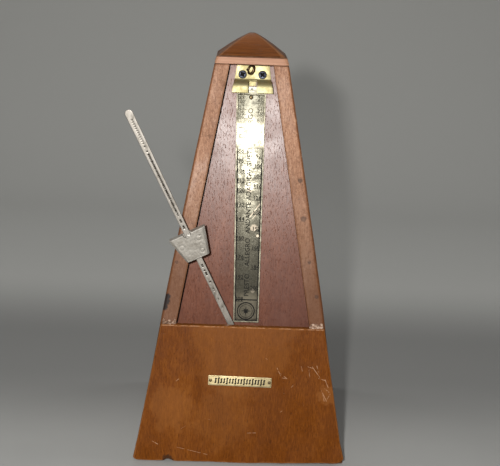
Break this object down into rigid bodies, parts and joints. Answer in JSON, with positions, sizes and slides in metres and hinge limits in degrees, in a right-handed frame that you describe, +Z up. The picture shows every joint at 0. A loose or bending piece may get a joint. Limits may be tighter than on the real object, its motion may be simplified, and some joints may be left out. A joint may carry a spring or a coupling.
{
  "type": "pyramid metronome",
  "caption": "Wind-up pyramid metronome in a wooden case, its cover off, with a swinging pendulum, sliding weight, tempo scale and clockwork.",
  "frame": {"origin": "centre of the footprint, on the surface the case stands on", "axes": "+Z up, the dial faces -Y, +X to the right of a person facing the dial"},
  "size_m": [0.1192, 0.112, 0.2222],
  "materials": {
    "case_wood": "satin lacquer, worn",
    "dial_wood": "satin lacquer",
    "raw_wood": "bare",
    "aged_brass": "polished, tarnished",
    "movement_brass": "satin",
    "dark_bronze": "oxidised",
    "rod_steel": "dull, tarnished",
    "arbor_steel": "turned",
    "screw_steel": "blackened",
    "spring_steel": "blued",
    "cast_weight": "cast, dull grey",
    "bob_metal": "cast, dull grey"
  },
  "bodies": {
    "case": {"left_side_wall": "case_wood", "right_side_wall": "case_wood", "front_panel": "case_wood", "back_panel": "case_wood", "cap": "case_wood", "dial_board": "dial_wood", "base_board": "raw_wood", "cleat_left": "raw_wood", "cleat_right": "raw_wood", "base_screw_1": "screw_steel", "base_screw_2": "screw_steel", "base_screw_3": "screw_steel", "base_screw_4": "screw_steel", "movement_screw_1": "screw_steel", "movement_screw_2": "screw_steel", "rod_clip_screw_left": "screw_steel", "rod_clip_screw_right": "screw_steel", "click_screw": "screw_steel", "front_cock_screw": "screw_steel", "rear_cock_screw": "screw_steel", "pillar_screw_1": "screw_steel", "pillar_screw_2": "screw_steel", "pillar_screw_3": "screw_steel", "pillar_screw_4": "screw_steel", "scale_plate": "aged_brass", "scale_pin": "aged_brass", "nameplate": "aged_brass", "nameplate_pin_left": "aged_brass", "nameplate_pin_right": "aged_brass", "rod_clip": "aged_brass", "cover_catch_eye": "dark_bronze", "inner_plate": "movement_brass", "outer_plate": "movement_brass", "front_cock": "movement_brass", "rear_cock": "movement_brass", "pillar_1": "movement_brass", "pillar_2": "movement_brass", "pillar_3": "movement_brass", "pillar_4": "movement_brass", "click_spring": "spring_steel"},
    "pendulum": {"pendulum_rod": "rod_steel", "pendulum_bob": "bob_metal", "rod_hub": "movement_brass", "hub_nut": "movement_brass", "pendulum_arbor": "arbor_steel", "pallet_front": "arbor_steel", "pallet_rear": "arbor_steel"},
    "weight": {"sliding_weight": "cast_weight", "weight_spring": "rod_steel"},
    "winder": {"winding_arbor": "arbor_steel", "ratchet_wheel": "arbor_steel"},
    "barrel": {"spring_barrel": "movement_brass", "barrel_lid": "movement_brass", "mainspring": "spring_steel"},
    "second": {"second_wheel": "movement_brass", "second_arbor": "arbor_steel"},
    "escape": {"crown_wheel": "movement_brass", "escape_arbor": "arbor_steel"},
    "click": {"click": "arbor_steel"}
  },
  "joints": [
    {"name": "pendulum_swing", "type": "hinge", "parent": "case", "child": "pendulum", "pos_m": [0, -0.0358, 0.0582], "axis": [0, 1, 0], "range_deg": [-1.8, 54.2]},
    {"name": "weight_slide", "type": "slide", "parent": "pendulum", "child": "weight", "axis": [-0.4411, -0.0436, 0.8964], "range_m": [-0.0441, 0.0629]},
    {"name": "winder_turn", "type": "hinge", "parent": "case", "child": "winder", "pos_m": [0.038, 0.01203, 0.02779], "axis": [1, 0, 0], "continuous": true},
    {"name": "barrel_turn", "type": "hinge", "parent": "case", "child": "barrel", "pos_m": [0.024, 0.01203, 0.02779], "axis": [1, 0, 0], "continuous": true},
    {"name": "second_turn", "type": "hinge", "parent": "case", "child": "second", "pos_m": [0.0152, 0.00795, 0.04548], "axis": [1, 0, 0], "continuous": true},
    {"name": "escape_turn", "type": "hinge", "parent": "case", "child": "escape", "pos_m": [0.009, 0, 0.0582], "axis": [1, 0, 0], "continuous": true},
    {"name": "click_lift", "type": "hinge", "parent": "case", "child": "click", "pos_m": [0.0355, 0.00207, 0.03354], "axis": [1, 0, 0], "range_deg": [0, 6], "stiffness_Nm_per_rad": 0.002, "springref_deg": -5.73}
  ],
  "couplings": [
    {"joint": "second_turn", "follows": "escape_turn", "ratio": -0.2},
    {"joint": "barrel_turn", "follows": "escape_turn", "ratio": 0.035714}
  ]
}
